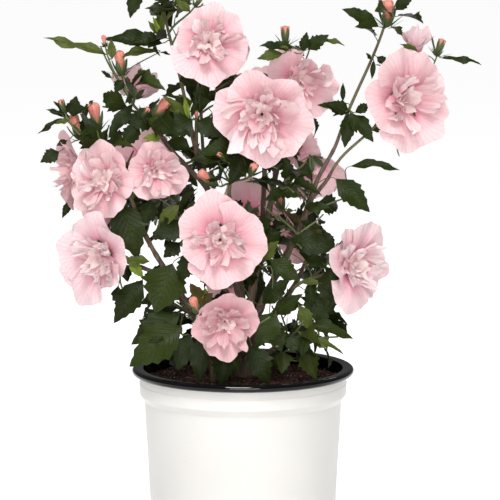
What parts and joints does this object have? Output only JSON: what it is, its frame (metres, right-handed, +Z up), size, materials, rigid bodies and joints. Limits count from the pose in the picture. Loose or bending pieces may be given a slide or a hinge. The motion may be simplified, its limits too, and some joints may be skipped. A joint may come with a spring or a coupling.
{
  "type": "potted rose of sharon",
  "caption": "Flowering shrub with double ruffled blooms, buds and lobed leaves on branching stems, standing in a round tapered nursery pot with a rolled rim.",
  "frame": {"origin": "centre of the pot's flat underside", "axes": "+Z up, the front of the plant faces -Y, +X to the plant's left as it faces the viewer"},
  "size_m": [0.4634, 0.2963, 0.6508],
  "materials": {
    "pot_white": "smooth moulded plastic, soft gloss",
    "pot_black": "black plastic, glossy rolled edge",
    "soil": "rough bark-based potting mix with white grains",
    "bark": "matt green-brown bark with fine ridges",
    "leaf": "satin leaf",
    "petal": "soft translucent petal",
    "bud": "satin furled petals in a green calyx"
  },
  "bodies": {
    "root": {"pot_body": "pot_white", "pot_rim": "pot_black", "soil": "soil", "trunk": "bark", "bough_back": "bark", "bough_back_left": "bark", "bough_back_right": "bark", "bough_back_top": "bark", "bough_centre": "bark", "bough_front": "bark", "bough_front_low": "bark", "bough_front_tall": "bark", "bough_left": "bark", "bough_left_low": "bark", "bough_left_mid": "bark", "bough_left_tall": "bark", "bough_low_left": "bark", "bough_low_right": "bark", "bough_right": "bark", "bough_right_bloom": "bark", "bough_right_low": "bark", "bough_right_tall": "bark", "foliage_back": "leaf", "foliage_back_high": "leaf", "foliage_back_left": "leaf", "foliage_back_right": "leaf", "foliage_back_top": "leaf", "foliage_centre": "leaf", "foliage_centre_right": "leaf", "foliage_front": "leaf", "foliage_front_low": "leaf", "foliage_left": "leaf", "foliage_left_low": "leaf", "foliage_low_back": "leaf", "foliage_low_back_right": "leaf", "foliage_low_left": "leaf", "foliage_low_right": "leaf", "foliage_middle": "leaf", "foliage_middle_left": "leaf", "foliage_middle_right": "leaf", "foliage_right": "leaf", "foliage_right_low": "leaf", "foliage_right_mid": "leaf", "foliage_top_centre": "leaf", "foliage_top_left": "leaf", "foliage_top_right": "leaf", "foliage_upper_left": "leaf"}
  },
  "joints": []
}
